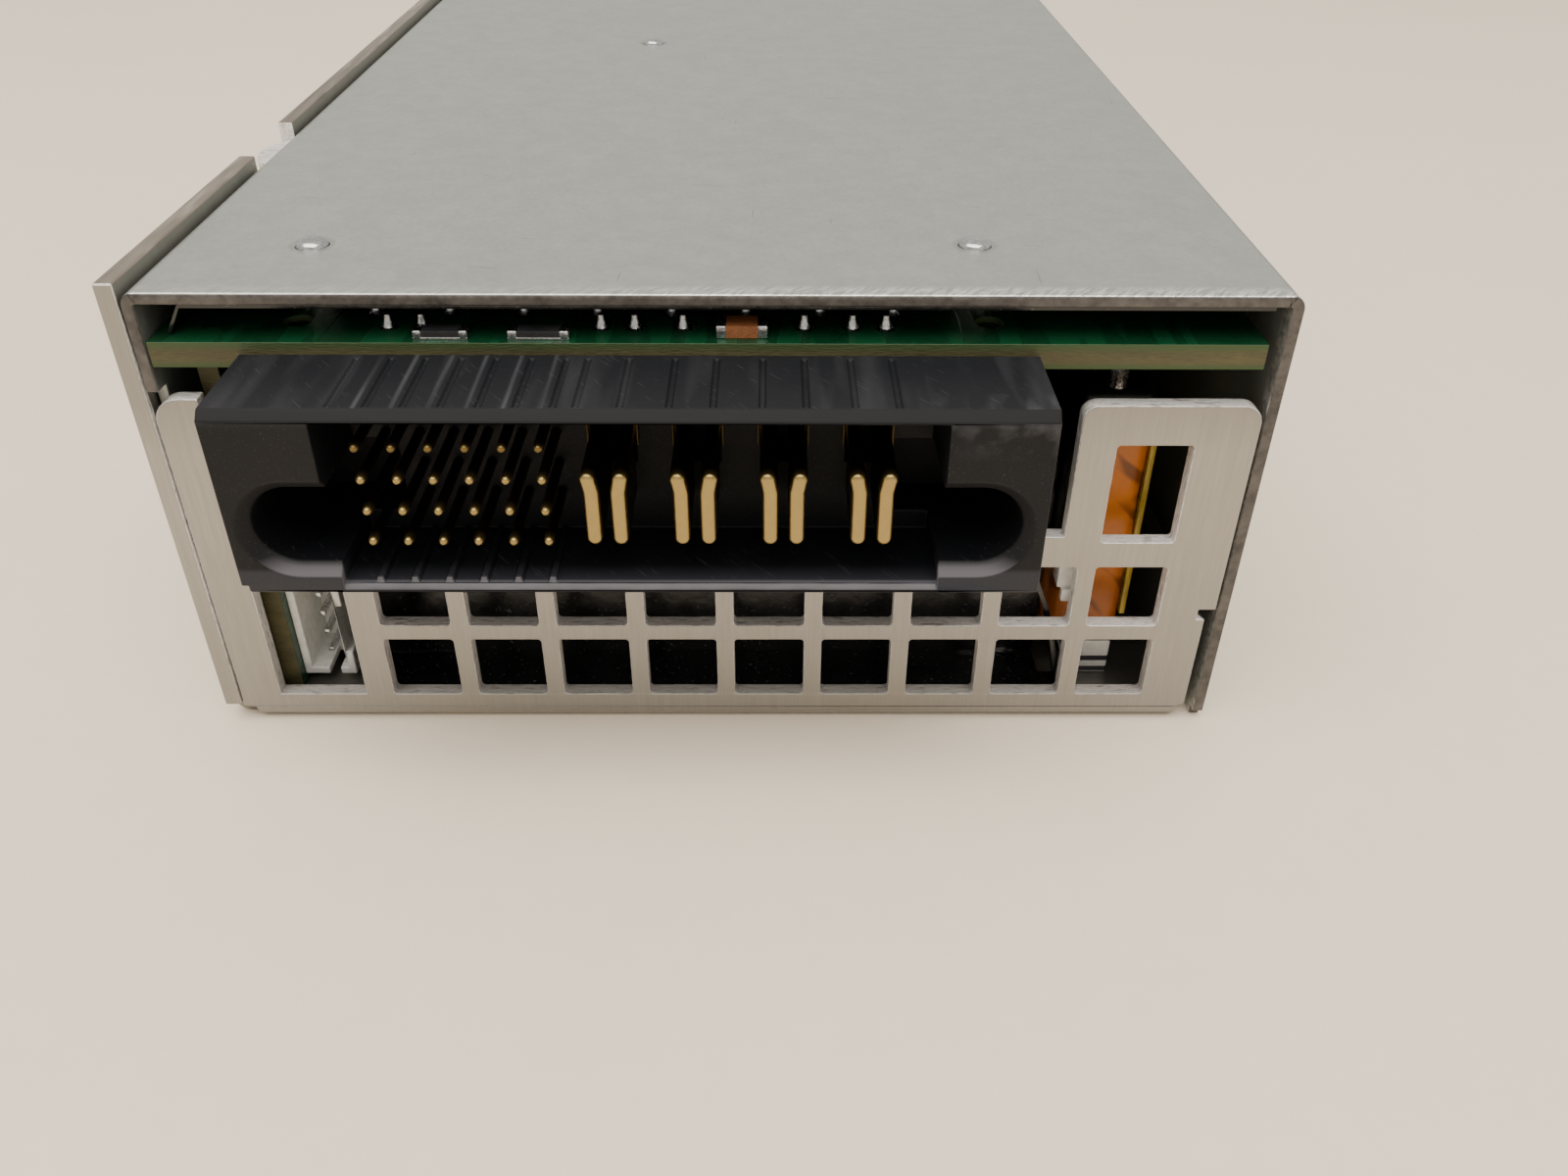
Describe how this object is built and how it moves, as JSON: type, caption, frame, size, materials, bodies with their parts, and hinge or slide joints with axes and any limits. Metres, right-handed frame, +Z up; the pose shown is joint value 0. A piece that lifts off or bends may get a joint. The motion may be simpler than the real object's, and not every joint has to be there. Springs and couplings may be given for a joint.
{
  "type": "server rack battery module",
  "caption": "Hot-plug battery backup module in a sheet-metal case with a blind-mate connector at one end and a bail handle and side latch at the other.",
  "frame": {"origin": "middle of the connector end plate's outer face, on the underside", "axes": "+Y from the connector end to the handle end, +Z up through the cover, +X towards the latch side"},
  "size_m": [0.0886, 0.2197, 0.0405],
  "materials": {
    "case_base": "brushed, warm grey",
    "case_cover": "galvanised, fine mottled grain",
    "end_panel": "brushed, warm grey",
    "plated_steel": "bright zinc plating",
    "dull_steel": "dull zinc plating",
    "black_film": "glossy insulating film",
    "board_mask": "green solder mask over glass fibre laminate",
    "board_edge": "olive cut laminate",
    "housing": "moulded black nylon, slightly shiny where worn",
    "contact_gold": "gold plating over copper alloy",
    "tinned": "bright tin",
    "capacitor_body": "brown ceramic",
    "chip_body": "moulded epoxy",
    "can_sleeve": "blue printed sleeve left blank",
    "ferrite": "sintered ferrite",
    "copper_wire": "enamelled copper",
    "white_nylon": "natural nylon",
    "cell_sleeve": "shrink sleeve left blank",
    "nickel": "bare nickel strip",
    "holder": "moulded flame-retardant plastic",
    "foam": "closed-cell foam",
    "red_wire": "silicone insulation",
    "black_wire": "silicone insulation",
    "orange_tape": "orange film tape over a wound choke",
    "yellow_tape": "yellow film tape",
    "label_white": "plain label with dark bars",
    "lamp_lens": "clear moulded light pipe",
    "bail_paint": "dark grey powder coat",
    "soft_grip": "soft moulded sleeve",
    "latch_steel": "stamped stainless",
    "pad_blue": "moulded blue plastic"
  },
  "bodies": {
    "chassis": {"chassis_base": "case_base", "top_cover": "case_cover", "cover_studs": "plated_steel", "cover_screws": "dull_steel", "cover_film": "black_film", "end_panel": "end_panel", "panel_foot": "end_panel", "floor_screws": "dull_steel", "main_board": "board_mask", "board_screws": "plated_steel", "connector_housing": "housing", "signal_pins": "contact_gold", "power_blades": "contact_gold", "solder_joints": "tinned", "chip_capacitors": "capacitor_body", "shunt_resistors": "tinned", "control_chips": "chip_body", "power_transistors": "chip_body", "bulk_capacitors": "can_sleeve", "choke_cores": "ferrite", "choke_windings": "copper_wire", "board_fuse": "white_nylon", "side_board": "board_edge", "balance_header": "white_nylon", "balance_pins": "tinned", "side_board_chips": "chip_body", "film_tray": "black_film", "battery_cells": "cell_sleeve", "cell_vents": "nickel", "cell_holders": "holder", "nickel_strips": "nickel", "foam_pad": "foam", "sensor_bead": "black_wire", "pack_socket": "white_nylon", "pack_plug": "white_nylon", "lead_red": "red_wire", "lead_black": "black_wire", "taped_choke": "orange_tape", "choke_pins": "tinned", "margin_tape": "yellow_tape", "blank_label": "label_white", "sensor_plug": "white_nylon", "led_board": "board_mask", "status_leds": "lamp_lens", "light_pipes": "lamp_lens", "handle_brackets": "end_panel", "bracket_rivets": "plated_steel", "latch_bracket": "dull_steel", "latch_pin": "plated_steel", "latch_spring": "plated_steel"},
    "handle": {"handle_bail": "bail_paint", "handle_grip": "soft_grip"},
    "latch": {"latch_arm": "latch_steel", "latch_pad": "pad_blue"}
  },
  "joints": [
    {"name": "handle_pivot", "type": "hinge", "parent": "chassis", "child": "handle", "pos_m": [-0.003, 0.201, 0.033], "axis": [1, 0, 0], "range_deg": [0, 90]},
    {"name": "latch_pivot", "type": "hinge", "parent": "chassis", "child": "latch", "pos_m": [0.0389, 0.168, 0.02], "axis": [0, 0, 1], "range_deg": [0, 8], "stiffness_Nm_per_rad": 0.2, "springref_deg": -17.19, "deforming": ["latch_spring"]}
  ]
}
